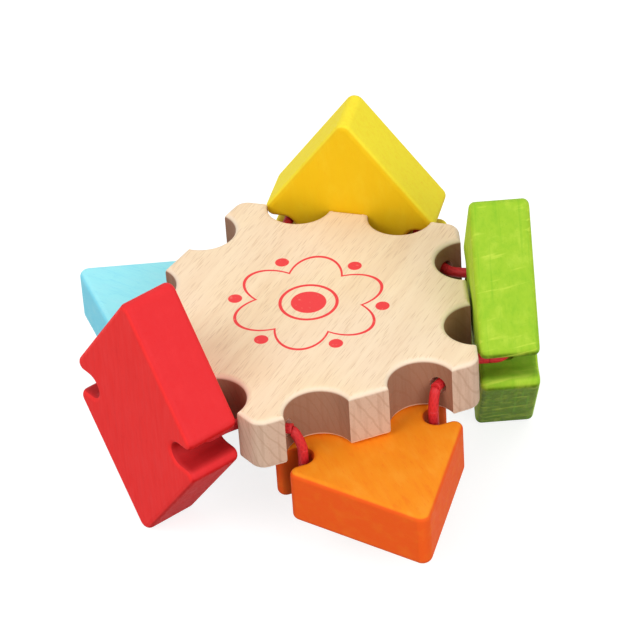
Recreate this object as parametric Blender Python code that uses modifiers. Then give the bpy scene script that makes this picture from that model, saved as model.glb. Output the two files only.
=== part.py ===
"""Wooden mirror toy: a five-sided hub with a mirror under it and five rhombic petals
threaded on one loop of elastic cord. Metres, +Z up, standing on the tips of three petals."""

import math

import bmesh
import bpy
from mathutils import Matrix, Vector

# Hub: a regular pentagon with two finger scoops in each side
HUB_CORNER_RADIUS = 0.0499
HUB_THICKNESS = 0.0150
HUB_LOBE_ROUND = 0.0040
HUB_EDGE_ROUND = 0.0015
SCOOP_RADIUS = 0.0084
SCOOP_FROM_CORNER = 0.01573
SCOOP_CENTRE_OUTSIDE = 0.0011

# Mirror and its adhesive pad, in a recess under the hub
MIRROR_RADIUS = 0.0270
MIRROR_THICKNESS = 0.0020
MIRROR_CHAMFER = 0.0002
PAD_INSIDE_MIRROR = 0.0020
PAD_THICKNESS = 0.0006
RECESS_SIDE_CLEARANCE = 0.0003
SEAT_GAP = 0.0003

# Petals: rhombic prisms with a slot in each blunt corner and a bore between the slots
PETAL_SIDE = 0.0458
PETAL_TIP_ANGLE = math.radians(73)
PETAL_THICKNESS = 0.0150
PETAL_EDGE_ROUND = 0.0016
PETAL_TIP_ROUND = 0.0025
PETAL_LIP_ROUND = 0.0022
SLOT_WIDTH = 0.0062
SLOT_END_FROM_MIDDLE = 0.0151

# Elastic cord, the holes that it runs in, and the knot that closes its loop
CORD_DIAMETER = 0.0030
CORD_HOLE_CLEARANCE = 0.0008
CORD_CUT = 0.0003
CORD_BEND_RADIUS = 0.0033
CORD_FROM_SLOT_END = 0.0023
CORD_STRAIGHT_IN_SLOT = 0.0017
CORD_OUT_OF_LOBE = 0.0062
LOBE_HOLE_FROM_CORNER = 0.0090
KNOT_DIAMETER = 0.0050
KNOT_LENGTH = 0.0060
KNOT_FROM_MIDDLE = 0.0095
KNOT_POCKET_CLEARANCE = 0.0004
KNOT_POCKET_DEPTH = 0.0100

# Where a petal's bore lies: its reach from the fold axis, upright and folded under,
# and how far inwards of that axis it is drawn when folded
FOLD_AXIS_INSIDE_SIDE = 0.0005
PETAL_TO_SIDE_GAP = 0.0006
PETAL_TO_UNDERSIDE_GAP = 0.0003
FOLDED_BORE_INWARDS = 0.0022

# How far each petal has leant about its bore, slid along its cord, and turned in its own plane
YELLOW_LEAN = math.radians(3.3)
ORANGE_SLIDE = 0.0004
GREEN_SLIDE = -0.0008
BLUE_SLIDE = -0.0005
ORANGE_TURN = math.radians(-0.5)
GREEN_TURN = math.radians(1.8)
RED_TURN = math.radians(-1.0)

# Order of the petals, counter-clockwise from the side that faces -Y, with each one's fold,
# lean, slide, turn and colour
UPRIGHT = 0.0
FOLDED = math.radians(90)
PETALS = (
    ("orange", FOLDED, 0.0, ORANGE_SLIDE, ORANGE_TURN, (0.93, 0.42, 0.06)),
    ("green", UPRIGHT, 0.0, GREEN_SLIDE, GREEN_TURN, (0.36, 0.70, 0.06)),
    ("yellow", UPRIGHT, YELLOW_LEAN, 0.0, 0.0, (0.95, 0.72, 0.05)),
    ("blue", FOLDED, 0.0, BLUE_SLIDE, 0.0, (0.28, 0.76, 0.90)),
    ("red", UPRIGHT, 0.0, 0.0, RED_TURN, (0.82, 0.05, 0.05)),
)
BEECH = (0.86, 0.70, 0.50)
CORD_RED = (0.62, 0.02, 0.02)

# Facets
ARC_STEP = math.radians(14)
HOLE_SIDES = 20
ROUND_SIDES = 48
EDGE_SEGMENTS = 2

SIDES = 5
SECTOR = 2 * math.pi / SIDES
FIRST_SIDE = -math.pi / 2
HUB_APOTHEM = HUB_CORNER_RADIUS * math.cos(SECTOR / 2)
SCOOP_FROM_MIDDLE = HUB_CORNER_RADIUS * math.sin(SECTOR / 2) - SCOOP_FROM_CORNER
LOBE_HOLE_FROM_CENTRE = HUB_CORNER_RADIUS - LOBE_HOLE_FROM_CORNER
PAD_RADIUS = MIRROR_RADIUS - PAD_INSIDE_MIRROR
FOLD_AXIS_OUT = HUB_APOTHEM - FOLD_AXIS_INSIDE_SIDE
REACH_UPRIGHT = FOLD_AXIS_INSIDE_SIDE + PETAL_TO_SIDE_GAP + PETAL_THICKNESS / 2
REACH_FOLDED = HUB_THICKNESS / 2 + PETAL_TO_UNDERSIDE_GAP + PETAL_THICKNESS / 2
HOLE_RADIUS = CORD_DIAMETER / 2 + CORD_HOLE_CLEARANCE
PETAL_TIP = PETAL_SIDE * math.cos(PETAL_TIP_ANGLE / 2)
PETAL_HALF_WIDTH = PETAL_SIDE * math.sin(PETAL_TIP_ANGLE / 2)
CORD_IN_SLOT = SLOT_END_FROM_MIDDLE + CORD_FROM_SLOT_END


def clear_scene():
    for thing in list(bpy.data.objects):
        bpy.data.objects.remove(thing, do_unlink=True)


def collection(name):
    made = bpy.data.collections.new(name)
    bpy.context.scene.collection.children.link(made)
    return made


def material(name, colour, roughness=0.55, metallic=0.0):
    made = bpy.data.materials.new(name)
    made.use_nodes = True
    shader = made.node_tree.nodes["Principled BSDF"]
    shader.inputs["Base Color"].default_value = (*colour, 1.0)
    shader.inputs["Roughness"].default_value = roughness
    shader.inputs["Metallic"].default_value = metallic
    return made


def empty(name, frame, parent=None):
    made = bpy.data.objects.new(name, None)
    made.empty_display_size = 0.01
    parts.objects.link(made)
    made.parent = parent
    made.matrix_local = frame
    return made


def add(name, data, finish, parent, frame=None):
    made = bpy.data.objects.new(name, data)
    parts.objects.link(made)
    made.parent = parent
    made.matrix_local = frame or Matrix()
    if finish:
        data.materials.append(finish)
    return made


# Outlines

def arc(centre, radius, start, end):
    """Points along an arc, both ends included."""
    steps = max(2, math.ceil(abs(end - start) / ARC_STEP))
    angles = [start + (end - start) * i / steps for i in range(steps + 1)]
    return [centre + radius * Vector((math.cos(a), math.sin(a))) for a in angles]


def rounded_corner(before, corner, after, radius):
    """The arc that rounds one corner of an outline, turning either way."""
    to_before = (before - corner).normalized()
    to_after = (after - corner).normalized()
    half = to_before.angle(to_after) / 2
    centre = corner + (to_before + to_after).normalized() * radius / math.sin(half)
    first = corner + to_before * radius / math.tan(half) - centre
    last = corner + to_after * radius / math.tan(half) - centre
    start = math.atan2(first.y, first.x)
    turn = math.atan2(first.cross(last), first.dot(last))
    return arc(centre, radius, start, start + turn)


def rounded_outline(corners):
    """A closed outline from (point, radius) corners."""
    points = []
    for i, (corner, radius) in enumerate(corners):
        before = corners[i - 1][0]
        after = corners[(i + 1) % len(corners)][0]
        points += rounded_corner(before, corner, after, radius)
    return points


def without_repeats(points):
    return [p for i, p in enumerate(points) if (p - points[i - 1]).length > 1e-6]


def hub_outline():
    """The pentagon, one side at a time: scoop, tab, scoop, rounded lobe."""
    points = []
    corner_reach = HUB_CORNER_RADIUS - HUB_LOBE_ROUND / math.cos(SECTOR / 2)
    edge_angle = math.asin(SCOOP_CENTRE_OUTSIDE / SCOOP_RADIUS)
    for k in range(SIDES):
        facing = FIRST_SIDE + k * SECTOR
        out = Vector((math.cos(facing), math.sin(facing)))
        along = Vector((-out.y, out.x))
        for place in (-SCOOP_FROM_MIDDLE, SCOOP_FROM_MIDDLE):
            centre = out * (HUB_APOTHEM + SCOOP_CENTRE_OUTSIDE) + along * place
            start = facing - math.pi / 2 - edge_angle
            points += arc(centre, SCOOP_RADIUS, start, start - math.pi + 2 * edge_angle)
        bisector = facing + SECTOR / 2
        centre = corner_reach * Vector((math.cos(bisector), math.sin(bisector)))
        points += arc(centre, HUB_LOBE_ROUND, facing, facing + SECTOR)
    return without_repeats(points)


def petal_outline():
    """The rhombus, tips along Y, with a round-ended slot in from each blunt corner."""
    half_slot = SLOT_WIDTH / 2
    lip = PETAL_HALF_WIDTH * (1 - half_slot / PETAL_TIP)
    end = SLOT_END_FROM_MIDDLE
    right = [
        ((lip, -half_slot), PETAL_LIP_ROUND),
        ((end, -half_slot), half_slot),
        ((end, half_slot), half_slot),
        ((lip, half_slot), PETAL_LIP_ROUND),
    ]
    top = [((0.0, PETAL_TIP), PETAL_TIP_ROUND)]
    half = [(Vector(p), r) for p, r in right + top]
    return without_repeats(rounded_outline(half + [(-p, r) for p, r in half]))


# Solids

def mesh_of(thing):
    """Swaps a curve object for a closed mesh object in the same place."""
    bpy.context.view_layer.update()
    seen = thing.evaluated_get(bpy.context.evaluated_depsgraph_get())
    mesh = bpy.data.meshes.new_from_object(seen)
    mesh.name = thing.name
    shape = bmesh.new()
    shape.from_mesh(mesh)
    bmesh.ops.remove_doubles(shape, verts=shape.verts, dist=1e-6)
    for top in (max(v.co.z for v in shape.verts), min(v.co.z for v in shape.verts)):
        flat = [f for f in shape.faces if all(abs(v.co.z - top) < 1e-6 for v in f.verts)]
        bmesh.ops.dissolve_faces(shape, faces=flat)
    bmesh.ops.recalc_face_normals(shape, faces=shape.faces)
    shape.to_mesh(mesh)
    shape.free()
    name, parent, frame = thing.name, thing.parent, thing.matrix_local.copy()
    bpy.data.objects.remove(thing, do_unlink=True)
    made = add(name, mesh, None, parent, frame)
    made.name = name
    return made


def plate(name, outline, thickness, edge_round, finish, parent):
    """A flat outline with rounded edges, centred on its own middle plane."""
    curve = bpy.data.curves.new(name, "CURVE")
    curve.dimensions = "2D"
    curve.fill_mode = "BOTH"
    curve.extrude = thickness / 2 - edge_round
    curve.bevel_depth = edge_round
    curve.bevel_resolution = EDGE_SEGMENTS - 1
    curve.offset = -edge_round
    spline = curve.splines.new("POLY")
    spline.points.add(len(outline) - 1)
    for point, place in zip(spline.points, outline):
        point.co = (place.x, place.y, 0.0, 1.0)
    spline.use_cyclic_u = True
    made = mesh_of(add(name, curve, finish, parent))
    made.data.shade_smooth()
    made.data.set_sharp_from_angle(angle=math.radians(40))
    return made


def cylinder(radius, height, sides=HOLE_SIDES):
    mesh = bpy.data.meshes.new("round")
    shape = bmesh.new()
    turn = Matrix.Rotation(math.pi / sides, 4, "Z")
    bmesh.ops.create_cone(
        shape, cap_ends=True, segments=sides, radius1=radius, radius2=radius, depth=height, matrix=turn
    )
    shape.to_mesh(mesh)
    shape.free()
    mesh.shade_smooth()
    mesh.set_sharp_from_angle(angle=math.radians(40))
    return mesh


def cut(target, name, mesh, frame):
    """Cuts a hole in the target with a mesh placed in the target's own frame."""
    cutter = bpy.data.objects.new(name, mesh)
    cutters.objects.link(cutter)
    cutter.parent = target
    cutter.matrix_local = frame
    cutter.hide_render = True
    cutter.display_type = "WIRE"
    boolean = target.modifiers.new(name, "BOOLEAN")
    boolean.operation = "DIFFERENCE"
    boolean.solver = "EXACT"
    boolean.object = cutter


def tube(name, route, parent):
    """A length of cord along a route, in the parent's frame."""
    curve = bpy.data.curves.new(name, "CURVE")
    curve.dimensions = "3D"
    curve.bevel_depth = CORD_DIAMETER / 2
    curve.bevel_resolution = 2
    curve.use_fill_caps = True
    spline = curve.splines.new("POLY")
    spline.points.add(len(route) - 1)
    for point, place in zip(spline.points, route):
        point.co = (*place, 1.0)
    return add(name, curve, cord, parent)


# Frames: in a side's frame X runs along the side, Y up and Z outwards, from the hub's centre

def side_frame(k):
    facing = FIRST_SIDE + k * SECTOR
    out = Vector((math.cos(facing), math.sin(facing), 0.0))
    along = Vector((-out.y, out.x, 0.0))
    up = Vector((0.0, 0.0, 1.0))
    return Matrix((along, up, out)).transposed().to_4x4()


def fold_frame(fold):
    """In the side's frame: the fold axis, turned by the fold angle."""
    return Matrix.Translation((0, 0, FOLD_AXIS_OUT)) @ Matrix.Rotation(fold, 4, "X")


def bore_spot(fold, slide):
    """The middle of a petal's bore, from the fold axis."""
    if fold == UPRIGHT:
        return Vector((slide, 0, REACH_UPRIGHT))
    return Vector((slide, -FOLDED_BORE_INWARDS, REACH_FOLDED))


# Cord routes

def mirrored(route):
    return [Vector((-p.x, p.y, p.z)) for p in route]


def bend(start, way_in, end, way_out, steps):
    """A smooth bend between two places, leaving and arriving along the given ways."""
    pull = 0.4 * (end - start).length
    hold = [start, start + way_in * pull, end - way_out * pull, end]
    points = []
    for i in range(steps + 1):
        t = i / steps
        weights = ((1 - t) ** 3, 3 * t * (1 - t) ** 2, 3 * t * t * (1 - t), t**3)
        points.append(sum((p * w for p, w in zip(hold, weights)), Vector()))
    return points


def lobe_way():
    """Centre of a lobe hole and its direction out of the lobe, in the side's frame."""
    half = SECTOR / 2
    centre = Vector((math.sin(half), 0, math.cos(half))) * LOBE_HOLE_FROM_CENTRE
    return centre, Vector((-math.cos(half), 0, math.sin(half)))


def link_route(fold, slide, turn):
    """From just outside the lobe, over the fold axis, to where the run begins."""
    centre, way = lobe_way()
    start = centre + way * (CORD_OUT_OF_LOBE + CORD_CUT)
    spot = bore_spot(fold, slide)
    to_run = spot.z - CORD_BEND_RADIUS - CORD_STRAIGHT_IN_SLOT
    swing = fold_frame(fold)
    outwards = (swing @ Vector((0, 0, 1))) - (swing @ Vector())
    along = CORD_IN_SLOT * math.cos(turn) + slide
    across = CORD_IN_SLOT * math.sin(turn) + spot.y
    bend_end = swing @ Vector((along, across, 0.6 * to_run))
    end = swing @ Vector((along, across, to_run - CORD_CUT))
    return [start] + bend(start + way * CORD_CUT, way, bend_end, outwards, 6) + [end]


def run_route():
    """Through the petal, in the bore's frame: in at one slot, round, along, and out."""
    bend = CORD_BEND_RADIUS
    straight = CORD_IN_SLOT - bend
    start = Vector((-CORD_IN_SLOT, 0, -bend - CORD_STRAIGHT_IN_SLOT))
    turn = arc(Vector((-straight, -bend)), bend, math.pi, math.pi / 2)
    left = [start] + [Vector((p.x, 0, p.y)) for p in turn]
    return left + mirrored(left)[::-1]


# Pieces

def build_hub(root):
    hub = plate("center_block", hub_outline(), HUB_THICKNESS, HUB_EDGE_ROUND, beech, root)
    centre, way = lobe_way()
    for k in range(SIDES):
        across = way.to_track_quat("Z", "Y").to_matrix().to_4x4()
        frame = side_frame(k) @ Matrix.Translation(centre) @ across
        cut(hub, f"lobe_hole_{k + 1}", cylinder(HOLE_RADIUS, 2.4 * CORD_OUT_OF_LOBE), frame)
    depth = PAD_THICKNESS + MIRROR_THICKNESS + 3 * SEAT_GAP
    recess = cylinder(MIRROR_RADIUS + RECESS_SIDE_CLEARANCE, 2 * depth, ROUND_SIDES)
    cut(hub, "mirror_recess", recess, Matrix.Translation((0, 0, -HUB_THICKNESS / 2)))
    return hub


def build_mirror(root):
    floor = -HUB_THICKNESS / 2 + PAD_THICKNESS + MIRROR_THICKNESS + 3 * SEAT_GAP
    pad_middle = floor - SEAT_GAP - PAD_THICKNESS / 2
    pad_mesh = cylinder(PAD_RADIUS, PAD_THICKNESS, ROUND_SIDES)
    add("mirror_adhesive_pad", pad_mesh, foam, root, Matrix.Translation((0, 0, pad_middle)))
    middle = pad_middle - PAD_THICKNESS / 2 - SEAT_GAP - MIRROR_THICKNESS / 2
    disc_mesh = cylinder(MIRROR_RADIUS, MIRROR_THICKNESS, ROUND_SIDES)
    disc = add("mirror_disc", disc_mesh, mirror, root, Matrix.Translation((0, 0, middle)))
    chamfer = disc.modifiers.new("eased_rim", "BEVEL")
    chamfer.width = MIRROR_CHAMFER
    chamfer.segments = 1


def build_lobe_cord(k, root):
    """The cord inside one lobe, from outside one mouth to outside the other."""
    centre, way = lobe_way()
    spots = [i / 2 for i in range(-2, 3)]
    route = [side_frame(k) @ (centre + way * CORD_OUT_OF_LOBE * s) for s in spots]
    next_colour = PETALS[(k + 1) % SIDES][0]
    tube(f"cord_lobe_{PETALS[k][0]}_{next_colour}", route, root)


def build_petal(k, root):
    colour, fold, lean, slide, turn, shade = PETALS[k]
    side = side_frame(k)
    swing = fold_frame(fold)
    axis = empty(f"fold_axis_{colour}", side @ swing, root)
    home = Matrix.Translation(bore_spot(fold, slide)) @ Matrix.Rotation(turn, 4, "Z")
    bore = empty(f"bore_axis_{colour}", home, axis)

    to_axis = swing.inverted()
    right = [to_axis @ p for p in link_route(fold, slide, turn)]
    left = [to_axis @ p for p in link_route(fold, -slide, -turn)]
    tube(f"cord_link_{colour}_right", right, axis)
    tube(f"cord_link_{colour}_left", mirrored(left), axis)

    stain = material(f"{colour}_stain", shade)
    petal = plate(f"petal_{colour}", petal_outline(), PETAL_THICKNESS, PETAL_EDGE_ROUND, stain, bore)
    petal.matrix_local = Matrix.Rotation(-lean, 4, "X")
    along_bore = Matrix.Rotation(math.pi / 2, 4, "Y")
    between_slots = 2 * SLOT_END_FROM_MIDDLE + SLOT_WIDTH
    cut(petal, f"bore_{colour}", cylinder(HOLE_RADIUS, between_slots), along_bore)

    route = run_route()
    if colour != "blue":
        tube(f"cord_run_{colour}", route, bore)
        return
    build_knot(petal, route, bore, along_bore)


def build_knot(petal, route, bore, along_bore):
    """The loop is tied inside the blue petal, in a pocket drilled in from one slot."""
    pocket_radius = KNOT_DIAMETER / 2 + KNOT_POCKET_CLEARANCE
    pocket = cylinder(pocket_radius, KNOT_POCKET_DEPTH + SLOT_WIDTH / 2)
    pocket_middle = SLOT_END_FROM_MIDDLE + SLOT_WIDTH / 4 - KNOT_POCKET_DEPTH / 2
    cut(petal, "knot_pocket", pocket, Matrix.Translation((pocket_middle, 0, 0)) @ along_bore)

    near = KNOT_FROM_MIDDLE - KNOT_LENGTH / 2 - CORD_CUT
    far = KNOT_FROM_MIDDLE + KNOT_LENGTH / 2 + CORD_CUT
    left = [p for p in route if p.x < near] + [Vector((near, 0, 0))]
    right = [Vector((far, 0, 0))] + [p for p in route if p.x > far]
    tube("cord_run_blue_left", left, bore)
    tube("cord_run_blue_right", right, bore)

    ball = bpy.data.meshes.new("cord_knot")
    shape = bmesh.new()
    bmesh.ops.create_uvsphere(shape, u_segments=12, v_segments=8, radius=KNOT_DIAMETER / 2)
    bmesh.ops.scale(shape, vec=(1, 1, KNOT_LENGTH / KNOT_DIAMETER), verts=shape.verts)
    shape.to_mesh(ball)
    shape.free()
    ball.shade_smooth()
    add("cord_knot", ball, cord, bore, Matrix.Translation((KNOT_FROM_MIDDLE, 0, 0)) @ along_bore)


def stand_at_origin(root):
    """Moves the toy so that the middle of its box, on the floor, is the origin."""
    bpy.context.view_layer.update()
    graph = bpy.context.evaluated_depsgraph_get()
    corners = []
    for thing in parts.objects:
        if thing.type in {"MESH", "CURVE"}:
            seen = thing.evaluated_get(graph)
            shape = seen.to_mesh()
            corners += [thing.matrix_world @ v.co for v in shape.vertices]
            seen.to_mesh_clear()
    low = [min(p[i] for p in corners) for i in range(3)]
    high = [max(p[i] for p in corners) for i in range(3)]
    root.location = (-(low[0] + high[0]) / 2, -(low[1] + high[1]) / 2, -low[2])
    bpy.context.view_layer.update()


clear_scene()
parts = collection("wooden_mirror_toy")
cutters = collection("cutters")
beech = material("beech", BEECH)
cord = material("elastic_cord", CORD_RED, roughness=0.7)
mirror = material("mirror", (0.90, 0.91, 0.92), roughness=0.03, metallic=1.0)
foam = material("adhesive_foam", (0.85, 0.85, 0.83), roughness=0.9)

hub_centre = empty("hub_centre", Matrix())
build_hub(hub_centre)
build_mirror(hub_centre)
for number in range(SIDES):
    build_lobe_cord(number, hub_centre)
    build_petal(number, hub_centre)
stand_at_origin(hub_centre)
print("hub centre in mm:", [round(v * 1000, 4) for v in hub_centre.location])
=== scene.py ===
"""The wooden mirror toy's looks: finer wood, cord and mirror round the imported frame."""

import math

import bmesh
import bpy
from mathutils import Matrix, Vector


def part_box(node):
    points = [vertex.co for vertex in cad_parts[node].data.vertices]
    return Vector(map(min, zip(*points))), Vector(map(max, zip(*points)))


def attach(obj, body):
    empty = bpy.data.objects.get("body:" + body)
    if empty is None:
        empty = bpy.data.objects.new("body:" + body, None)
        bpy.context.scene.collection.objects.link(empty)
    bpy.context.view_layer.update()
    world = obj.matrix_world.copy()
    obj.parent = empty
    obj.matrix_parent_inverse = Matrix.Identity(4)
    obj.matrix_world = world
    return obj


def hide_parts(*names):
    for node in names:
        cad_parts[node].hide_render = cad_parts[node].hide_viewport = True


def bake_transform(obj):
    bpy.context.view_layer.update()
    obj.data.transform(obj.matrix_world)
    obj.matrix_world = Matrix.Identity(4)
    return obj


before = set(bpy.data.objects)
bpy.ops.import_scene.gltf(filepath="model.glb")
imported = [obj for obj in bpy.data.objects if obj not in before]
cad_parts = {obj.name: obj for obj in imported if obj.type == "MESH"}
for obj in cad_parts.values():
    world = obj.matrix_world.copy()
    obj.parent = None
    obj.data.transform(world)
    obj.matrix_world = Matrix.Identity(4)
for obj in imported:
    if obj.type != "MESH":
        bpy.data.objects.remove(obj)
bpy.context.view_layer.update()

# Sizes repeated from the part's source, in metres
HUB_CORNER_RADIUS = 0.0499
HUB_THICKNESS = 0.0150
HUB_LOBE_ROUND = 0.0040
HUB_EDGE_ROUND = 0.0015
SCOOP_RADIUS = 0.0084
SCOOP_FROM_CORNER = 0.01573
SCOOP_CENTRE_OUTSIDE = 0.0011
MIRROR_RADIUS = 0.0270
RECESS_SIDE_CLEARANCE = 0.0003
RECESS_DEPTH = 0.0035
PETAL_SIDE = 0.0458
PETAL_TIP_ANGLE = math.radians(73)
PETAL_THICKNESS = 0.0150
PETAL_EDGE_ROUND = 0.0016
PETAL_TIP_ROUND = 0.0025
PETAL_LIP_ROUND = 0.0022
SLOT_WIDTH = 0.0062
SLOT_END_FROM_MIDDLE = 0.0151
HOLE_RADIUS = 0.0023
CORD_BEND_RADIUS = 0.0033
CORD_IN_SLOT = 0.0174
CORD_STRAIGHT_IN_SLOT = 0.0017
CORD_OUT_OF_LOBE = 0.0062
LOBE_HOLE_FROM_CORNER = 0.0090
KNOT_LENGTH = 0.0060
KNOT_RADIUS = 0.0025
KNOT_FROM_MIDDLE = 0.0095
POCKET_RADIUS = 0.0029
POCKET_DEPTH = 0.0100
FOLD_AXIS_INSIDE_SIDE = 0.0005
PETAL_TO_SIDE_GAP = 0.0006
PETAL_TO_UNDERSIDE_GAP = 0.0003
FOLDED_BORE_INWARDS = 0.0022
YELLOW_LEAN = math.radians(3.3)
ORANGE_SLIDE = 0.0004
GREEN_SLIDE = -0.0008
BLUE_SLIDE = -0.0005
ORANGE_TURN = math.radians(-0.5)
GREEN_TURN = math.radians(1.8)
RED_TURN = math.radians(-1.0)
HUB_CENTRE = Vector((0.0001133, 0.0065671, 0.0353951))

# Looks
HUB_CORNER_SOFTENING = 0.0005
PETAL_CORNER_SOFTENING = 0.0004
ARC_STEP = math.radians(4)
HOLE_SIDES = 48
EDGE_SEGMENTS = 6
CORD_RADIUS = 0.0013
CORD_OVERLAP = 0.0002
CORD_FACETS = 32
CORD_STRANDS = 8
CORD_TWIST = 0.0024
CORD_DIP = 0.0007
CORD_EASE = 0.15
CORD_SPACING = 0.0006
CORD_SPACING_IN_BORE = 0.0015
BEND_SHARE = 0.6
GRAIN_ANGLE = math.radians(41)
# How far the painted shade reaches past a scoop's wall, and how softly it fades
SCOOP_SHADE_REACH = 0.0010
SCOOP_SHADE_FADE = 0.0008
MIRROR_RIM_EASE = 0.00025
KNOT_CORD_RADIUS = 0.0009
KNOT_TURNS = 2
KNOT_END_CLEARANCE = 0.0001
KNOT_STEPS = 48

# The photograph's camera, fitted: its place is counted from the middle of the hub's top
CAMERA_LENS = 195.8
CAMERA_RIGHT = Vector((0.93035, -0.36279, -0.05325))
CAMERA_UP = Vector((0.25828, 0.54526, 0.79749))
CAMERA_FROM_TOP = Vector((-0.22644, -0.66534, 0.52263))

# Light: each lamp's name, place, size and power
LAMPS = (
    ("key", (-0.90, -0.35, 0.95), 0.8, 6.0),
    ("fill", (0.30, -1.20, 0.62), 0.9, 7.4),
    ("rear", (-0.20, 1.05, 0.90), 0.8, 2.0),
    ("side", (1.10, 0.30, 0.80), 0.8, 1.4),
)
SKY_LIGHT = 0.58
FLOOR_SHADE = 0.40
FLOOR_GLOW = 0.78
FLOOR_HALF_WIDTH = 6.0
FLOOR_BELOW_TIPS = 0.0003

# Colours, as linear red, green and blue
BEECH_PALE = (0.96, 0.765, 0.515)
BEECH_DEEP = (0.90, 0.680, 0.440)
BEECH_PINK = (0.96, 0.765, 0.580)
BEECH_HAIR = (0.78, 0.550, 0.345)
BEECH_FLECK = (0.58, 0.350, 0.19)
# Painted highlight on the hub's rounded top edges
BEECH_RIM_HIGHLIGHT = (0.96, 0.800, 0.640)
END_GRAIN = (0.66, 0.460, 0.335)
END_RING = (0.40, 0.220, 0.13)
END_STREAK = (0.45, 0.265, 0.175)
END_PORE = (0.46, 0.28, 0.20)
# Painted shade on the finger scoops' walls
SCOOP_SHADE_BROWN = (0.27, 0.105, 0.050)
PRINT_RED = (0.88, 0.062, 0.066)
CORD_DARK = (0.58, 0.012, 0.016)
CORD_LIGHT = (0.70, 0.020, 0.026)
CORD_FUZZ = (0.78, 0.08, 0.08)
MIRROR_SILVER = (0.90, 0.91, 0.92)
MIRROR_HAZE = (0.80, 0.82, 0.84)
FOAM_DARK = (0.70, 0.70, 0.67)
FOAM_LIGHT = (0.88, 0.88, 0.85)

# The print: a scalloped outline, a ring, an eye and dots
SCALLOPS = 6
SCALLOP_INNER = 0.0135
SCALLOP_SWING = 0.0060
PRINT_RING = 0.0072
PRINT_EYE = 0.0046
DOT_FROM_MIDDLE = 0.0188
DOT_RADIUS = 0.0019
PRINT_LINE = 0.00050
PRINT_LINE_BLUR = 0.00016
PRINT_BLUR = 0.0002

# Stains with painted shading: flat faces, upper and lower edges (whose colours paint the light and shade
# that fall on the edges), the darker and paler grain, and how strong each figure is
STAINS_AND_PAINTED_SHADING = {
    "orange": dict(
        flat=(0.93, 0.275, 0.010), upper_painted_shading=(0.90, 0.108, 0.010), lower_painted_shading=(0.90, 0.108, 0.010),
        deep=(0.88, 0.150, 0.007), pale=(0.96, 0.360, 0.028),
        grain=0.20, mottle=0.48, edge_mottle=0.12, lines=0.0,
    ),
    "green": dict(
        flat=(0.40, 0.62, 0.030), upper_painted_shading=(0.36, 0.60, 0.030), lower_painted_shading=(0.110, 0.205, 0.001),
        deep=(0.20, 0.50, 0.018), pale=(0.62, 0.78, 0.080),
        grain=0.34, mottle=0.35, edge_mottle=0.35, lines=0.60,
    ),
    "yellow": dict(
        flat=(0.88, 0.560, 0.008), upper_painted_shading=(0.97, 0.800, 0.040), lower_painted_shading=(0.92, 0.600, 0.012),
        deep=(0.86, 0.480, 0.006), pale=(0.96, 0.740, 0.045),
        grain=0.20, mottle=0.18, edge_mottle=0.12, lines=0.0,
    ),
    "blue": dict(
        flat=(0.37, 0.910, 0.995), upper_painted_shading=(0.26, 0.800, 0.980), lower_painted_shading=(0.26, 0.800, 0.980),
        deep=(0.20, 0.720, 0.930), pale=(0.46, 0.900, 0.990),
        grain=0.25, mottle=0.30, edge_mottle=0.25, lines=0.0,
    ),
    "red": dict(
        flat=(0.95, 0.034, 0.032), upper_painted_shading=(0.80, 0.029, 0.034), lower_painted_shading=(0.60, 0.004, 0.004),
        deep=(0.80, 0.018, 0.020), pale=(0.95, 0.055, 0.055),
        grain=0.24, mottle=0.20, edge_mottle=0.12, lines=0.0,
    ),
}

SIDES = 5
SECTOR = 2 * math.pi / SIDES
FIRST_SIDE = -math.pi / 2
HUB_APOTHEM = HUB_CORNER_RADIUS * math.cos(SECTOR / 2)
SCOOP_FROM_MIDDLE = HUB_CORNER_RADIUS * math.sin(SECTOR / 2) - SCOOP_FROM_CORNER
LOBE_HOLE_FROM_CENTRE = HUB_CORNER_RADIUS - LOBE_HOLE_FROM_CORNER
FOLD_AXIS_OUT = HUB_APOTHEM - FOLD_AXIS_INSIDE_SIDE
REACH_UPRIGHT = FOLD_AXIS_INSIDE_SIDE + PETAL_TO_SIDE_GAP + PETAL_THICKNESS / 2
REACH_FOLDED = HUB_THICKNESS / 2 + PETAL_TO_UNDERSIDE_GAP + PETAL_THICKNESS / 2
PETAL_TIP = PETAL_SIDE * math.cos(PETAL_TIP_ANGLE / 2)
PETAL_HALF_WIDTH = PETAL_SIDE * math.sin(PETAL_TIP_ANGLE / 2)
UPRIGHT = 0.0
FOLDED = math.radians(90)

# Petals counter-clockwise from the side that faces -Y: name, fold, lean, slide and turn
PETALS = (
    ("orange", FOLDED, 0.0, ORANGE_SLIDE, ORANGE_TURN),
    ("green", UPRIGHT, 0.0, GREEN_SLIDE, GREEN_TURN),
    ("yellow", UPRIGHT, YELLOW_LEAN, 0.0, 0.0),
    ("blue", FOLDED, 0.0, BLUE_SLIDE, 0.0),
    ("red", UPRIGHT, 0.0, 0.0, RED_TURN),
)


# Camera, floor and light

def camera():
    """The camera of the photograph, fitted to the hub and the petals."""
    data = bpy.data.cameras.new("camera")
    data.sensor_width = 36.0
    data.lens = CAMERA_LENS
    data.clip_start = 0.05
    data.clip_end = 20.0
    seen = bpy.data.objects.new("camera", data)
    bpy.context.scene.collection.objects.link(seen)
    back = CAMERA_RIGHT.cross(CAMERA_UP).normalized()
    right = CAMERA_UP.cross(back).normalized()
    turn = Matrix((right, CAMERA_UP.normalized(), back)).transposed().to_4x4()
    top_centre = HUB_CENTRE + Vector((0, 0, HUB_THICKNESS / 2))
    seen.matrix_world = Matrix.Translation(top_centre + CAMERA_FROM_TOP) @ turn
    bpy.context.scene.camera = seen


def lamp(name, place, size, energy):
    data = bpy.data.lights.new(name, "AREA")
    data.shape = "DISK"
    data.size = size
    data.energy = energy
    made = bpy.data.objects.new(name, data)
    bpy.context.scene.collection.objects.link(made)
    made.location = place
    made.rotation_euler = (HUB_CENTRE - Vector(place)).to_track_quat("-Z", "Y").to_euler()


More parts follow.
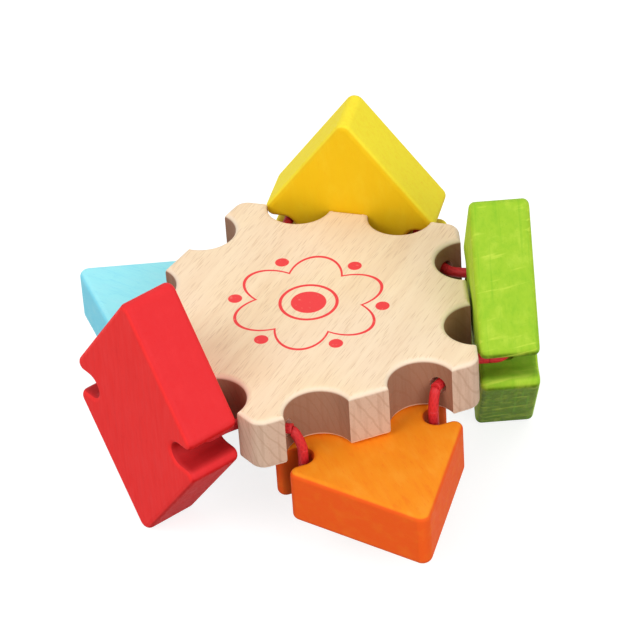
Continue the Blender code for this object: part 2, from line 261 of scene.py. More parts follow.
def studio():
    """A white floor that only shows the toy's soft shadow, and large soft lamps."""
    bpy.context.scene.view_settings.view_transform = "Standard"
    world = bpy.data.worlds.new("studio")
    bpy.context.scene.world = world
    world.use_nodes = True
    nodes = world.node_tree.nodes
    links = world.node_tree.links
    nodes.clear()
    fill = nodes.new("ShaderNodeBackground")
    fill.inputs["Strength"].default_value = SKY_LIGHT
    white = nodes.new("ShaderNodeBackground")
    white.inputs["Strength"].default_value = 1.0
    for colour in (fill, white):
        colour.inputs["Color"].default_value = (1.0, 1.0, 1.0, 1.0)
    mix = nodes.new("ShaderNodeMixShader")
    links.new(backdrop_rays(nodes, links), mix.inputs[0])
    links.new(fill.outputs[0], mix.inputs[1])
    links.new(white.outputs[0], mix.inputs[2])
    out = nodes.new("ShaderNodeOutputWorld")
    links.new(mix.outputs[0], out.inputs["Surface"])

    for name, place, size, energy in LAMPS:
        lamp(name, place, size, energy)

    mesh = bpy.data.meshes.new("floor")
    shape = bmesh.new()
    bmesh.ops.create_grid(shape, x_segments=1, y_segments=1, size=FLOOR_HALF_WIDTH)
    shape.to_mesh(mesh)
    shape.free()
    floor = bpy.data.objects.new("floor", mesh)
    bpy.context.scene.collection.objects.link(floor)
    floor.location.z = -FLOOR_BELOW_TIPS
    paint = bpy.data.materials.new("floor_white")
    paint.use_nodes = True
    nodes = paint.node_tree.nodes
    links = paint.node_tree.links
    nodes.clear()
    matte = nodes.new("ShaderNodeBsdfDiffuse")
    matte.inputs["Color"].default_value = (FLOOR_SHADE, FLOOR_SHADE, FLOOR_SHADE, 1.0)
    glow = nodes.new("ShaderNodeEmission")
    glow.inputs["Strength"].default_value = FLOOR_GLOW
    both = nodes.new("ShaderNodeAddShader")
    links.new(matte.outputs[0], both.inputs[0])
    links.new(glow.outputs[0], both.inputs[1])
    seen = nodes.new("ShaderNodeMixShader")
    links.new(backdrop_rays(nodes, links), seen.inputs[0])
    links.new(matte.outputs[0], seen.inputs[1])
    links.new(both.outputs[0], seen.inputs[2])
    out = nodes.new("ShaderNodeOutputMaterial")
    links.new(seen.outputs[0], out.inputs["Surface"])
    mesh.materials.append(paint)


def backdrop_rays(nodes, links):
    """The rays that see the backdrop: the camera's own, mirrored ones and those through glass."""
    path = nodes.new("ShaderNodeLightPath")
    value = path.outputs["Is Camera Ray"]
    for name in ("Is Glossy Ray", "Is Transmission Ray"):
        either = nodes.new("ShaderNodeMath")
        either.operation = "MAXIMUM"
        links.new(value, either.inputs[0])
        links.new(path.outputs[name], either.inputs[1])
        value = either.outputs[0]
    return value


# Shader building

class Shader:
    """A material's nodes, written as calls that return sockets."""

    def __init__(self, name, home=None):
        """Home is the frame in which the piece was drawn."""
        self.home = home or Matrix()
        self.material = bpy.data.materials.new(name)
        self.material.use_nodes = True
        self.nodes = self.material.node_tree.nodes
        self.links = self.material.node_tree.links
        self.shader = self.nodes["Principled BSDF"]

    def put(self, socket, value):
        if isinstance(value, bpy.types.NodeSocket):
            self.links.new(value, socket)
        elif value is not None:
            socket.default_value = value

    def place(self, scale=(1, 1, 1), turn=(0, 0, 0), move=(0, 0, 0)):
        """A spot in the piece's own frame, turned and moved, then scaled."""
        vector = self.nodes.new("ShaderNodeTexCoord").outputs["Object"]
        back = self.home.inverted()
        steps = (
            {"Rotation": back.to_euler(), "Location": back.translation},
            {"Rotation": turn, "Location": move},
            {"Scale": scale},
        )
        for values in steps:
            mapping = self.nodes.new("ShaderNodeMapping")
            self.links.new(vector, mapping.inputs["Vector"])
            for name, value in values.items():
                mapping.inputs[name].default_value = value
            vector = mapping.outputs[0]
        return vector

    def noise(self, vector, scale, detail, roughness=0.5):
        node = self.nodes.new("ShaderNodeTexNoise")
        self.links.new(vector, node.inputs["Vector"])
        node.inputs["Scale"].default_value = scale
        node.inputs["Detail"].default_value = detail
        node.inputs["Roughness"].default_value = roughness
        return node.outputs["Fac"]

    def rings(self, vector, scale, distortion, detail, detail_scale):
        """Rings about the x axis, as a tree grows them."""
        node = self.nodes.new("ShaderNodeTexWave")
        node.wave_type = "RINGS"
        node.rings_direction = "X"
        self.links.new(vector, node.inputs["Vector"])
        node.inputs["Scale"].default_value = scale
        node.inputs["Distortion"].default_value = distortion
        node.inputs["Detail"].default_value = detail
        node.inputs["Detail Scale"].default_value = detail_scale
        return node.outputs["Fac"]

    def cells(self, vector, scale):
        node = self.nodes.new("ShaderNodeTexVoronoi")
        self.links.new(vector, node.inputs["Vector"])
        node.inputs["Scale"].default_value = scale
        return node.outputs["Distance"]

    def math(self, operation, a, b=None):
        node = self.nodes.new("ShaderNodeMath")
        node.operation = operation
        for socket, value in zip(node.inputs, (a, b)):
            self.put(socket, value)
        return node.outputs[0]

    def remap(self, value, low, high, to_low=0.0, to_high=1.0):
        """A smooth step from to_low, where the value is low, to to_high."""
        node = self.nodes.new("ShaderNodeMapRange")
        node.interpolation_type = "SMOOTHSTEP"
        for name, number in (("From Min", low), ("From Max", high), ("To Min", to_low), ("To Max", to_high)):
            node.inputs[name].default_value = number
        self.put(node.inputs["Value"], value)
        return node.outputs[0]

    def mix(self, factor, a, b):
        node = self.nodes.new("ShaderNodeMix")
        node.data_type = "RGBA"
        self.put(node.inputs[0], factor)
        for socket, value in ((node.inputs[6], a), (node.inputs[7], b)):
            if isinstance(value, tuple):
                value = (*value, 1.0)
            self.put(socket, value)
        return node.outputs[2]

    def split(self, vector):
        node = self.nodes.new("ShaderNodeSeparateXYZ")
        self.links.new(vector, node.inputs[0])
        return node.outputs

    def facing(self, way):
        """How far the surface faces one way of the piece's own frame, from -1 to 1."""
        coords = self.nodes.new("ShaderNodeTexCoord")
        dot = self.nodes.new("ShaderNodeVectorMath")
        dot.operation = "DOT_PRODUCT"
        self.links.new(coords.outputs["Normal"], dot.inputs[0])
        dot.inputs[1].default_value = self.home.to_3x3() @ Vector(way)
        return dot.outputs["Value"]

    def bump(self, height, strength, distance):
        node = self.nodes.new("ShaderNodeBump")
        node.inputs["Strength"].default_value = strength
        node.inputs["Distance"].default_value = distance
        self.put(node.inputs["Height"], height)
        return node.outputs[0]

    def finish(self, colour, roughness, normal=None, **values):
        self.put(self.shader.inputs["Base Color"], colour)
        self.put(self.shader.inputs["Roughness"], roughness)
        self.put(self.shader.inputs["Normal"], normal)
        for name, value in values.items():
            self.shader.inputs[name.replace("_", " ")].default_value = value
        return self.material


def beech():
    """Bare beech: straight grain, short flecks, rings on the end grain, and a red print on top, with painted
    shade in the finger scoops and a painted highlight on the rounded top edges.
    """
    s = Shader("beech_bare")
    turn = (0, 0, -GRAIN_ANGLE)
    board = s.noise(s.place(scale=(26, 240, 240), turn=turn), 1.0, detail=5, roughness=0.55)
    hairs = s.noise(s.place(scale=(70, 2200, 2200), turn=turn), 1.0, detail=3, roughness=0.6)
    patches = s.noise(s.place(), 26, detail=2)
    wood = s.mix(s.remap(board, 0.32, 0.70), BEECH_PALE, BEECH_DEEP)
    wood = s.mix(s.remap(patches, 0.35, 0.65, 0.0, 0.50), wood, BEECH_PINK)
    wood = s.mix(s.remap(hairs, 0.50, 0.72, 0.0, 0.40), wood, BEECH_HAIR)

    grown = s.place(turn=turn, move=(0.0, -0.090, 0.045))
    rings = s.rings(grown, 170, distortion=3.2, detail=3, detail_scale=0.7)
    fleck = s.cells(s.place(scale=(170, 3000, 900), turn=turn), 1.0)
    some = s.noise(s.place(scale=(90, 600, 400), turn=turn), 1.0, detail=1)
    fleck = s.math("MULTIPLY", s.remap(fleck, 0.40, 0.16), s.remap(some, 0.38, 0.52))
    up = s.math("ABSOLUTE", s.facing((0, 0, 1)))
    on_face = s.remap(up, 0.75, 0.95)
    wood = s.mix(s.math("MULTIPLY", fleck, s.math("MULTIPLY", on_face, 0.40)), wood, BEECH_FLECK)

    pores = s.noise(s.place(), 1900, detail=3)
    streaks = s.noise(s.place(scale=(800, 800, 60), turn=turn), 1.0, detail=3)
    end = s.mix(s.remap(rings, 0.84, 1.0, 0.0, 0.30), END_GRAIN, END_RING)
    end = s.mix(s.remap(streaks, 0.46, 0.66, 0.0, 0.36), end, END_STREAK)
    end = s.mix(s.remap(pores, 0.50, 0.75, 0.0, 0.25), end, END_PORE)
    # Painted shade: the finger scoops' walls are darkened towards a deep brown, standing in for the shade in
    # the hollows.
    mark = s.nodes.new("ShaderNodeAttribute")
    mark.attribute_name = "painted_scoop_shade"
    end = s.mix(s.math("MULTIPLY", mark.outputs["Fac"], 0.78), end, SCOOP_SHADE_BROWN)
    wood = s.mix(s.remap(up, 0.66, 0.20), wood, end)
    # Painted highlight: a paler band on the rounded top edges, where they catch the light.
    rim = s.math("MULTIPLY", s.remap(up, 0.15, 0.45), s.remap(up, 0.97, 0.75))
    wood = s.mix(s.math("MULTIPLY", rim, 0.50), wood, BEECH_RIM_HIGHLIGHT)

    wood = s.mix(red_print(s, on_face), wood, PRINT_RED)
    fibres = s.noise(s.place(scale=(120, 1600, 900), turn=turn), 1.0, detail=3)
    rough = s.remap(fibres, 0.2, 0.8, 0.60, 0.74)
    height = s.math("SUBTRACT", s.math("MULTIPLY", fibres, 0.5), fleck)
    normal = s.bump(height, 0.25, 0.0001)
    return s.finish(wood, rough, normal, Specular_IOR_Level=0.15)


def red_print(s, on_face):
    """A plain flower: a scalloped outline, an eye in a ring, and a dot between the scallops."""
    x, y, z = s.split(s.place())
    radius = s.math("SQRT", s.math("ADD", s.math("MULTIPLY", x, x), s.math("MULTIPLY", y, y)))
    angle = s.math("ARCTAN2", y, x)
    swing = s.math("ABSOLUTE", s.math("COSINE", s.math("MULTIPLY", angle, SCALLOPS / 2)))
    edge = s.math("ADD", s.math("MULTIPLY", swing, SCALLOP_SWING), SCALLOP_INNER)
    off_edge = s.math("ABSOLUTE", s.math("SUBTRACT", radius, edge))
    off_ring = s.math("ABSOLUTE", s.math("SUBTRACT", radius, PRINT_RING))
    line = s.remap(off_edge, PRINT_LINE, PRINT_LINE - PRINT_LINE_BLUR)
    ring = s.remap(off_ring, PRINT_LINE, PRINT_LINE - PRINT_LINE_BLUR)
    eye = s.remap(radius, PRINT_EYE, PRINT_EYE - PRINT_BLUR)
    print_mask = s.math("MAXIMUM", s.math("MAXIMUM", line, ring), eye)
    for k in range(SCALLOPS):
        turn = 2 * math.pi * (k + 0.5) / SCALLOPS
        dx = s.math("SUBTRACT", x, DOT_FROM_MIDDLE * math.cos(turn))
        dy = s.math("SUBTRACT", y, DOT_FROM_MIDDLE * math.sin(turn))
        away = s.math("SQRT", s.math("ADD", s.math("MULTIPLY", dx, dx), s.math("MULTIPLY", dy, dy)))
        print_mask = s.math("MAXIMUM", print_mask, s.remap(away, DOT_RADIUS, DOT_RADIUS - PRINT_BLUR))
    top_only = s.math("GREATER_THAN", z, HUB_THICKNESS / 2 - 0.0004)
    worn = s.remap(s.noise(s.place(), 900, detail=3), 0.25, 0.40, 0.82, 1.0)
    return s.math("MULTIPLY", s.math("MULTIPLY", print_mask, top_only), worn)


def stained_with_painted_shading(name, home, flat, upper_painted_shading, lower_painted_shading, deep, pale, grain, mottle, edge_mottle, lines, seed):
    """Stained wood with painted light and shade: the upper and lower edges take colours that paint the light
    and shade falling on them, and the faces inside the slot get painted shade.
    """
    s = Shader(name, home)
    move = (seed, 2 * seed, 3 * seed)
    # A dull copy of the deep colour, for the painted shade inside the slot
    shade = tuple(0.4 * part for part in deep)
    # Painted light and shade: edges facing the tip (upwards on an upright petal) take the upper colour,
    # edges facing the other way the lower one.
    edge = s.mix(s.remap(s.facing((0, 1, 0)), -0.25, 0.25), lower_painted_shading, upper_painted_shading)
    on_flat = s.remap(s.math("ABSOLUTE", s.facing((0, 0, 1))), 0.55, 0.85)
    colour = s.mix(on_flat, edge, flat)
    long_grain = s.noise(s.place(scale=(16, 1.3, 16), move=move), 60, detail=5, roughness=0.6)
    cloud = s.noise(s.place(scale=(1, 0.45, 1), move=move), 300, detail=5, roughness=0.6)
    mottled = s.remap(on_flat, 0.0, 1.0, edge_mottle, mottle)
    colour = s.mix(s.remap(long_grain, 0.42, 0.75, 0.0, grain), colour, deep)
    colour = s.mix(s.math("MULTIPLY", s.remap(cloud, 0.45, 0.72), mottled), colour, pale)
    colour = s.mix(s.math("MULTIPLY", s.remap(cloud, 0.45, 0.25), mottled), colour, deep)
    pores = s.cells(s.place(scale=(1500, 260, 1500), move=move), 1.0)
    pore_mask = s.remap(pores, 0.24, 0.08)
    colour = s.mix(s.math("MULTIPLY", pore_mask, 0.30), colour, deep)
    if lines:
        tilted = s.place(scale=(700, 700, 30), turn=(math.radians(12), 0, 0), move=move)
        across = s.noise(tilted, 1.0, detail=2)
        along = s.noise(s.place(scale=(40, 40, 900), move=move), 1.0, detail=2)
        colour = s.mix(s.remap(across, 0.58, 0.72, 0.0, lines), colour, pale)
        colour = s.mix(s.remap(along, 0.56, 0.72, 0.0, 0.6 * lines), colour, deep)
    # Painted shade: the faces inside the slot are darkened, where shade falls in the recess.
    _, across_slot, _ = s.split(s.place())
    slot_shade_mask = s.remap(s.math("ABSOLUTE", across_slot), SLOT_WIDTH / 2 + 0.0010, SLOT_WIDTH / 2 - 0.0001)
    colour = s.mix(s.math("MULTIPLY", slot_shade_mask, s.remap(on_flat, 0.6, 0.1, 0.0, 0.65)), colour, shade)
    fibres = s.noise(s.place(scale=(1400, 150, 1400), move=move), 1.0, detail=3)
    rough = s.remap(fibres, 0.2, 0.8, 0.56, 0.72)
    height = s.math("SUBTRACT", s.math("MULTIPLY", fibres, 0.6), s.math("MULTIPLY", pore_mask, 0.6))
    normal = s.bump(height, 0.25, 0.0001)
    return s.finish(colour, rough, normal, Specular_IOR_Level=0.13)


def braided_cord():
    """Fine red braid: strands cross both ways round the cord."""
    s = Shader("braided_cord")
    coords = s.nodes.new("ShaderNodeUVMap")
    coords.uv_map = "along"
    u, v, _ = s.split(coords.outputs[0])
    round_turn = s.math("MULTIPLY", u, CORD_STRANDS)
    one = s.math("SINE", s.math("MULTIPLY", s.math("ADD", round_turn, v), 2 * math.pi))
    other = s.math("SINE", s.math("MULTIPLY", s.math("SUBTRACT", round_turn, v), 2 * math.pi))
    weave = s.math("MAXIMUM", one, other)
    colour = s.mix(s.remap(weave, -0.6, 1.0), CORD_DARK, CORD_LIGHT)
    fuzz = s.noise(s.place(), 2500, detail=2)
    colour = s.mix(s.math("MULTIPLY", fuzz, 0.20), colour, CORD_FUZZ)
    normal = s.bump(weave, 0.25, 0.00006)
    return s.finish(colour, s.remap(fuzz, 0.3, 0.7, 0.50, 0.66), normal, Specular_IOR_Level=0.35)


def mirror_face():
    s = Shader("mirror_acrylic")
    haze = s.noise(s.place(), 160, detail=3)
    colour = s.mix(s.remap(haze, 0.4, 0.7, 0.0, 0.12), MIRROR_SILVER, MIRROR_HAZE)
    rough = s.remap(haze, 0.35, 0.75, 0.015, 0.05)
    return s.finish(colour, rough, Metallic=1.0)


def foam_pad():
    s = Shader("adhesive_foam")
    cells = s.cells(s.place(), 2200)
    colour = s.mix(s.remap(cells, 0.1, 0.6), FOAM_DARK, FOAM_LIGHT)
    normal = s.bump(cells, 0.4, 0.0001)
    return s.finish(colour, s.remap(cells, 0.0, 0.6, 0.85, 0.95), normal)


# Outlines, as in the part's source but finer

def arc(centre, radius, start, end):
    steps = max(3, math.ceil(abs(end - start) / ARC_STEP))
    angles = [start + (end - start) * i / steps for i in range(steps + 1)]
    return [centre + radius * Vector((math.cos(a), math.sin(a))) for a in angles]


def rounded_corner(before, corner, after, radius):
    to_before = (before - corner).normalized()
    to_after = (after - corner).normalized()
    half = to_before.angle(to_after) / 2
    centre = corner + (to_before + to_after).normalized() * radius / math.sin(half)
    first = corner + to_before * radius / math.tan(half) - centre
    last = corner + to_after * radius / math.tan(half) - centre
    start = math.atan2(first.y, first.x)
    turn = math.atan2(first.cross(last), first.dot(last))
    return arc(centre, radius, start, start + turn)


def without_repeats(points):
    return [p for i, p in enumerate(points) if (p - points[i - 1]).length > 1e-6]


def side_ways(k):
    """The angle that a side of the hub faces, and the directions out of it and along it."""
    facing = FIRST_SIDE + k * SECTOR
    out = Vector((math.cos(facing), math.sin(facing)))
    return facing, out, Vector((-out.y, out.x))


def scoop_centres(k):
    _, out, along = side_ways(k)
    middle = out * (HUB_APOTHEM + SCOOP_CENTRE_OUTSIDE)
    return [middle + along * place for place in (-SCOOP_FROM_MIDDLE, SCOOP_FROM_MIDDLE)]


def hub_outline():
    points = []
    corner_reach = HUB_CORNER_RADIUS - HUB_LOBE_ROUND / math.cos(SECTOR / 2)
    edge_angle = math.asin(SCOOP_CENTRE_OUTSIDE / SCOOP_RADIUS)
    for k in range(SIDES):
        facing = side_ways(k)[0]
        for centre in scoop_centres(k):
            start = facing - math.pi / 2 - edge_angle
            points += arc(centre, SCOOP_RADIUS, start, start - math.pi + 2 * edge_angle)
        bisector = facing + SECTOR / 2
        centre = corner_reach * Vector((math.cos(bisector), math.sin(bisector)))
        points += arc(centre, HUB_LOBE_ROUND, facing, facing + SECTOR)
    return without_repeats(points)


def petal_outline():
    half_slot = SLOT_WIDTH / 2
    lip = PETAL_HALF_WIDTH * (1 - half_slot / PETAL_TIP)
    corners = [
        ((lip, -half_slot), PETAL_LIP_ROUND),
        ((SLOT_END_FROM_MIDDLE, -half_slot), half_slot),
        ((SLOT_END_FROM_MIDDLE, half_slot), half_slot),
        ((lip, half_slot), PETAL_LIP_ROUND),
        ((0.0, PETAL_TIP), PETAL_TIP_ROUND),
    ]
    half = [(Vector(p), r) for p, r in corners]
    corners = half + [(-p, r) for p, r in half]
    points = []
    for i, (corner, radius) in enumerate(corners):
        before = corners[i - 1][0]
        after = corners[(i + 1) % len(corners)][0]
        points += rounded_corner(before, corner, after, radius)
    return without_repeats(points)


# Solids

def linked(name, data, place=None):
    made = bpy.data.objects.new(name, data)
    bpy.context.scene.collection.objects.link(made)
    made.matrix_world = place or Matrix()
    return made


def applied(thing):
    """The thing with its modifiers applied, as one mesh."""
    bpy.context.view_layer.update()
    seen = thing.evaluated_get(bpy.context.evaluated_depsgraph_get())
    mesh = bpy.data.meshes.new_from_object(seen)
    name, place = thing.name, thing.matrix_world.copy()
    bpy.data.objects.remove(thing, do_unlink=True)
    return linked(name, mesh, place)


def plate(name, outline, thickness, edge_round):
    curve = bpy.data.curves.new(name, "CURVE")
    curve.dimensions = "2D"
    curve.fill_mode = "BOTH"
    curve.extrude = thickness / 2 - edge_round
    curve.bevel_depth = edge_round
    curve.bevel_resolution = EDGE_SEGMENTS - 1
    curve.offset = -edge_round
    spline = curve.splines.new("POLY")
    spline.points.add(len(outline) - 1)
    for point, place in zip(spline.points, outline):
        point.co = (place.x, place.y, 0.0, 1.0)
    spline.use_cyclic_u = True
    made = applied(linked(name, curve))
    shape = bmesh.new()
    shape.from_mesh(made.data)
    bmesh.ops.remove_doubles(shape, verts=shape.verts, dist=1e-6)
    for top in (max(v.co.z for v in shape.verts), min(v.co.z for v in shape.verts)):
        flat = [f for f in shape.faces if all(abs(v.co.z - top) < 1e-6 for v in f.verts)]
        bmesh.ops.dissolve_faces(shape, faces=flat)
    bmesh.ops.recalc_face_normals(shape, faces=shape.faces)
    shape.to_mesh(made.data)
    shape.free()
    return made


def cut(target, radius, height, place, sides=HOLE_SIDES):
    mesh = bpy.data.meshes.new("cutter")
    shape = bmesh.new()
    turn = Matrix.Rotation(math.pi / sides, 4, "Z")
    bmesh.ops.create_cone(
        shape, cap_ends=True, segments=sides, radius1=radius, radius2=radius, depth=height, matrix=turn
    )
    shape.to_mesh(mesh)
    shape.free()
    cutter = linked("cutter", mesh, place)
    boolean = target.modifiers.new("cut", "BOOLEAN")
    boolean.operation = "DIFFERENCE"
    boolean.solver = "EXACT"
    boolean.object = cutter
    name = target.name
    made = applied(target)
    made.name = name
    bpy.data.objects.remove(cutter, do_unlink=True)
    return made


def softened(thing, width):
    """Eases the crisp corners and hole mouths, and shades the rest smooth."""
    bevel = thing.modifiers.new("ease", "BEVEL")
    bevel.width = width
    bevel.segments = 3
    bevel.limit_method = "ANGLE"
    bevel.angle_limit = math.radians(38)
    bevel.use_clamp_overlap = True
    thing.data.shade_smooth()
    name = thing.name
    made = applied(thing)
    made.name = name
    made.data.shade_smooth()
    made.data.set_sharp_from_angle(angle=math.radians(32))
    weighted = made.modifiers.new("even_faces", "WEIGHTED_NORMAL")
    weighted.keep_sharp = True
    return made


# Frames, as in the part's source

def side_frame(k):
    facing = FIRST_SIDE + k * SECTOR
    out = Vector((math.cos(facing), math.sin(facing), 0.0))
    along = Vector((-out.y, out.x, 0.0))
    up = Vector((0.0, 0.0, 1.0))
    return Matrix.Translation(HUB_CENTRE) @ Matrix((along, up, out)).transposed().to_4x4()


def fold_frame(fold):
    return Matrix.Translation((0, 0, FOLD_AXIS_OUT)) @ Matrix.Rotation(fold, 4, "X")


def bore_spot(fold, slide):
    if fold == UPRIGHT:
        return Vector((slide, 0, REACH_UPRIGHT))
    return Vector((slide, -FOLDED_BORE_INWARDS, REACH_FOLDED))


def bore_frame(fold, slide, turn):
    """In the side's frame: the petal's bore, as it lies at rest."""
    spot = Matrix.Translation(bore_spot(fold, slide))
    return fold_frame(fold) @ spot @ Matrix.Rotation(turn, 4, "Z")


def lobe_way():
    half = SECTOR / 2
    centre = Vector((math.sin(half), 0, math.cos(half))) * LOBE_HOLE_FROM_CENTRE
    return centre, Vector((-math.cos(half), 0, math.sin(half)))


# Cord

def cord_tube(name, route, finish):
    """A round tube along a route, with a UV layer that runs along and round it."""
    mesh = bpy.data.meshes.new(name)
    shape = bmesh.new()
    layer = shape.loops.layers.uv.new("along")
    gaps = [(b - a).length for a, b in zip(route, route[1:])]
    run = [sum(gaps[:i]) for i in range(len(route))]
    side = (route[1] - route[0]).orthogonal().normalized()
    rings = []
    for i, spot in enumerate(route):
        before = route[max(i - 1, 0)]
        after = route[min(i + 1, len(route) - 1)]
        way = (after - before).normalized()
        side = (side - way * side.dot(way)).normalized()
        other = way.cross(side)
        ring = []
        for j in range(CORD_FACETS):
            turn = 2 * math.pi * j / CORD_FACETS
            outwards = side * math.cos(turn) + other * math.sin(turn)
            ring.append(shape.verts.new(spot + CORD_RADIUS * outwards))
        rings.append(ring)
    for i in range(len(rings) - 1):
        for j in range(CORD_FACETS):
            k = (j + 1) % CORD_FACETS
            face = shape.faces.new((rings[i][j], rings[i][k], rings[i + 1][k], rings[i + 1][j]))
            face.smooth = True
            spots = ((i, j), (i, j + 1), (i + 1, j + 1), (i + 1, j))
            for loop, (a, b) in zip(face.loops, spots):
                loop[layer].uv = (b / CORD_FACETS, run[a] / CORD_TWIST)
    shape.faces.new(rings[0][::-1])
    shape.faces.new(rings[-1])
    bmesh.ops.recalc_face_normals(shape, faces=shape.faces)
    shape.to_mesh(mesh)
    shape.free()
    mesh.materials.append(finish)
    return linked(name, mesh)


def straight(a, b, spacing=CORD_SPACING):
    steps = max(2, math.ceil((b - a).length / spacing))
    return [a.lerp(b, i / steps) for i in range(steps + 1)]


def bend(start, way_in, end, way_out, steps=18):
    """A smooth way between two spots that leaves and arrives in the given directions."""
    pull = CORD_EASE * (end - start).length
    hold = [start, start + way_in * pull, end - way_out * pull, end]
    points = []
    for i in range(steps + 1):
        t = i / steps
        weights = ((1 - t) ** 3, 3 * t * (1 - t) ** 2, 3 * t * t * (1 - t), t**3)
        points.append(sum((p * w for p, w in zip(hold, weights)), Vector()))
    return points


def mirrored(route):
    return [Vector((-p.x, p.y, p.z)) for p in route]


def placed(route, place):
    return [place @ p for p in route]


def cord_dip(fold):
    """A petal folded under draws its cord down to the floor of the lobe's hole."""
    return Vector((0, -CORD_DIP if fold == FOLDED else 0, 0))


def build_cord(finish):
    centre, way = lobe_way()
    for k, (colour, fold, _, slide, turn) in enumerate(PETALS):
        side = side_frame(k)
        after, after_fold = PETALS[(k + 1) % SIDES][:2]
        reach = way * (CORD_OUT_OF_LOBE + CORD_OVERLAP)
        lobe = straight(centre - reach + cord_dip(fold), centre + reach + cord_dip(after_fold))
        piece = cord_tube(f"lobe_cord_{colour}_{after}", placed(lobe, side), finish)
        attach(piece, "hub")
        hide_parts(f"cord_lobe_{colour}_{after}")
        build_links(colour, fold, slide, turn, side, finish)
        build_run(colour, side @ bore_frame(fold, slide, turn), finish)


def build_links(colour, fold, slide, turn, side, finish):
    """Each free stretch in two pieces: one bends over the fold axis, one runs straight on."""
    centre, way = lobe_way()
    start = centre + way * CORD_OUT_OF_LOBE + cord_dip(fold)
    swing = fold_frame(fold)
    outwards = (swing @ Vector((0, 0, 1))) - (swing @ Vector())
    for hand, flip, sign in (("right", list, 1), ("left", mirrored, -1)):
        spot = bore_spot(fold, sign * slide)
        to_run = spot.z - CORD_BEND_RADIUS - CORD_STRAIGHT_IN_SLOT
        along = CORD_IN_SLOT * math.cos(turn) + spot.x
        side_step = CORD_IN_SLOT * math.sin(sign * turn) + spot.y
        bend_end = swing @ Vector((along, side_step, BEND_SHARE * to_run))
        end = swing @ Vector((along, side_step, to_run + CORD_OVERLAP))
        first = placed(flip(bend(start, way, bend_end, outwards)), side)
        piece = cord_tube(f"link_bend_{colour}_{hand}", first, finish)
        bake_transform(piece)
        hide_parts(f"cord_link_{colour}_{hand}")
        second = placed(flip(straight(bend_end - outwards * CORD_OVERLAP, end)), side)
        piece = cord_tube(f"link_stretch_{colour}_{hand}", second, finish)
        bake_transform(piece)


def build_run(colour, place, finish):
    """Through the petal: in at one slot, round, along the bore, and out."""
    middle = CORD_IN_SLOT - CORD_BEND_RADIUS
    turn = arc(Vector((-middle, -CORD_BEND_RADIUS)), CORD_BEND_RADIUS, math.pi, math.pi / 2)
    left = straight(Vector((-CORD_IN_SLOT, 0, -CORD_BEND_RADIUS - CORD_STRAIGHT_IN_SLOT)),
                    Vector((-CORD_IN_SLOT, 0, -CORD_BEND_RADIUS)))[:-1]
    left += [Vector((p.x, 0, p.y)) for p in turn]
    if colour != "blue":
        across = straight(left[-1], Vector((-left[-1].x, 0, 0)), CORD_SPACING_IN_BORE)[1:-1]
        route = left + across + mirrored(left)[::-1]
        piece = cord_tube(f"run_{colour}", placed(route, place), finish)
        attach(piece, f"{colour}_run")
        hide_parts(f"cord_run_{colour}")
        return
    near = KNOT_FROM_MIDDLE - KNOT_LENGTH / 2 + CORD_OVERLAP
    far = KNOT_FROM_MIDDLE + KNOT_LENGTH / 2 - CORD_OVERLAP
    first = left + straight(left[-1], Vector((near, 0, 0)), CORD_SPACING_IN_BORE)[1:]
    second = [Vector((far, 0, 0))] + [p for p in mirrored(left)[::-1] if p.x > far]
    for name, route in (("left", first), ("right", second)):
        piece = cord_tube(f"run_blue_{name}", placed(route, place), finish)
        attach(piece, "blue_run")
        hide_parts(f"cord_run_blue_{name}")
    build_knot(place, finish)


def build_knot(place, finish):
    """Turns of a thinner cord, drawn tight about each other."""
    turns = []
    radius = KNOT_RADIUS - KNOT_CORD_RADIUS
    length = KNOT_LENGTH - 2 * KNOT_CORD_RADIUS - KNOT_END_CLEARANCE
    for i in range(KNOT_STEPS + 1):
        t = i / KNOT_STEPS
        angle = KNOT_TURNS * 2 * math.pi * t
        x = KNOT_FROM_MIDDLE + (t - 0.5) * length
        turns.append(Vector((x, radius * math.cos(angle), radius * math.sin(angle))))
    curve = bpy.data.curves.new("knot", "CURVE")
    curve.dimensions = "3D"
    curve.bevel_depth = KNOT_CORD_RADIUS
    curve.bevel_resolution = 5
    curve.use_fill_caps = True
    spline = curve.splines.new("POLY")
    spline.points.add(len(turns) - 1)
    for point, spot in zip(spline.points, placed(turns, place)):
        point.co = (*spot, 1.0)
    knot = applied(linked("knot", curve))
    knot.name = "tied_knot"
    knot.data.uv_layers.new(name="along")
    knot.data.materials.append(finish)
    knot.data.shade_smooth()
    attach(knot, "blue_run")
    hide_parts("cord_knot")


# Wood and mirror

def mark_scoop_shade(hub):
    """How far each face lies in a finger scoop, for the painted shade that darkens the scoop walls."""
    mark = hub.data.attributes.new("painted_scoop_shade", "FLOAT", "FACE")
    centres = [centre for k in range(SIDES) for centre in scoop_centres(k)]
    for face, value in zip(hub.data.polygons, mark.data):
        near = min((face.center.xy - centre).length for centre in centres)
        inside = (SCOOP_RADIUS + SCOOP_SHADE_REACH - near) / SCOOP_SHADE_FADE
        value.value = min(max(inside, 0.0), 1.0)


def build_hub():
    hub = plate("hub_wood", hub_outline(), HUB_THICKNESS, HUB_EDGE_ROUND)
    centre, way = lobe_way()
    across = way.to_track_quat("Z", "Y").to_matrix().to_4x4()
    for k in range(SIDES):
        place = Matrix.Translation(-HUB_CENTRE) @ side_frame(k) @ Matrix.Translation(centre) @ across
        hub = cut(hub, HOLE_RADIUS, 2.4 * CORD_OUT_OF_LOBE, place)
    floor = Matrix.Translation((0, 0, -HUB_THICKNESS / 2))
    hub = cut(hub, MIRROR_RADIUS + RECESS_SIDE_CLEARANCE, 2 * RECESS_DEPTH, floor, 128)
    hub = softened(hub, HUB_CORNER_SOFTENING)
    # Marks the scoop walls for their painted shade.
    mark_scoop_shade(hub)
    hub.matrix_world = Matrix.Translation(HUB_CENTRE)
    hub.data.materials.clear()
    hub.data.materials.append(beech())
    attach(hub, "hub")
    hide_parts("center_block")


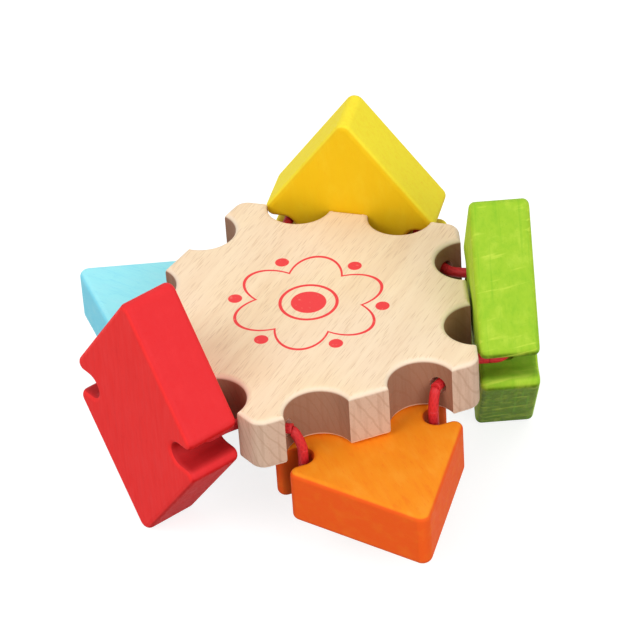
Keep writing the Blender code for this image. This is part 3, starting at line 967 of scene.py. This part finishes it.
def build_mirror():
    """The disc's rim is eased, and its glossy face lies just inside the hub's underside."""
    low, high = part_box("mirror_disc")
    mesh = bpy.data.meshes.new("mirror_plate")
    shape = bmesh.new()
    bmesh.ops.create_cone(
        shape, cap_ends=True, segments=160, radius1=MIRROR_RADIUS, radius2=MIRROR_RADIUS,
        depth=high[2] - low[2],
    )
    rim = [e for e in shape.edges if abs(e.verts[0].co.z - e.verts[1].co.z) < 1e-7]
    bmesh.ops.bevel(shape, geom=rim, offset=MIRROR_RIM_EASE, segments=3, affect="EDGES", profile=0.5)
    shape.to_mesh(mesh)
    shape.free()
    middle = Matrix.Translation((HUB_CENTRE.x, HUB_CENTRE.y, (low[2] + high[2]) / 2))
    disc = linked("mirror_plate", mesh, middle)
    mesh.shade_smooth()
    mesh.set_sharp_from_angle(angle=math.radians(35))
    mesh.materials.append(mirror_face())
    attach(disc, "hub")
    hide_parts("mirror_disc")
    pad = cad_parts["mirror_adhesive_pad"]
    pad.data.materials.clear()
    pad.data.materials.append(foam_pad())


def build_petal(k):
    colour, fold, lean, slide, turn = PETALS[k]
    petal = plate(f"wood_{colour}", petal_outline(), PETAL_THICKNESS, PETAL_EDGE_ROUND)
    along_bore = Matrix.Rotation(math.pi / 2, 4, "Y")
    petal = cut(petal, HOLE_RADIUS, 2 * SLOT_END_FROM_MIDDLE + SLOT_WIDTH, along_bore)
    if colour == "blue":
        middle = SLOT_END_FROM_MIDDLE + SLOT_WIDTH / 4 - POCKET_DEPTH / 2
        place = Matrix.Translation((middle, 0, 0)) @ along_bore
        petal = cut(petal, POCKET_RADIUS, POCKET_DEPTH + SLOT_WIDTH / 2, place)
    petal = softened(petal, PETAL_CORNER_SOFTENING)
    home = side_frame(k) @ bore_frame(fold, slide, turn) @ Matrix.Rotation(-lean, 4, "X")
    petal.data.transform(home)
    petal.data.materials.clear()
    # The stain, with painted light and shade on the edges and in the slot
    petal.data.materials.append(stained_with_painted_shading(f"stain_painted_shading_{colour}", home, seed=0.13 * (k + 1), **STAINS_AND_PAINTED_SHADING[colour]))
    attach(petal, f"{colour}_petal")
    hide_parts(f"petal_{colour}")


camera()
studio()
build_hub()
build_mirror()
for number in range(SIDES):
    build_petal(number)
build_cord(braided_cord())
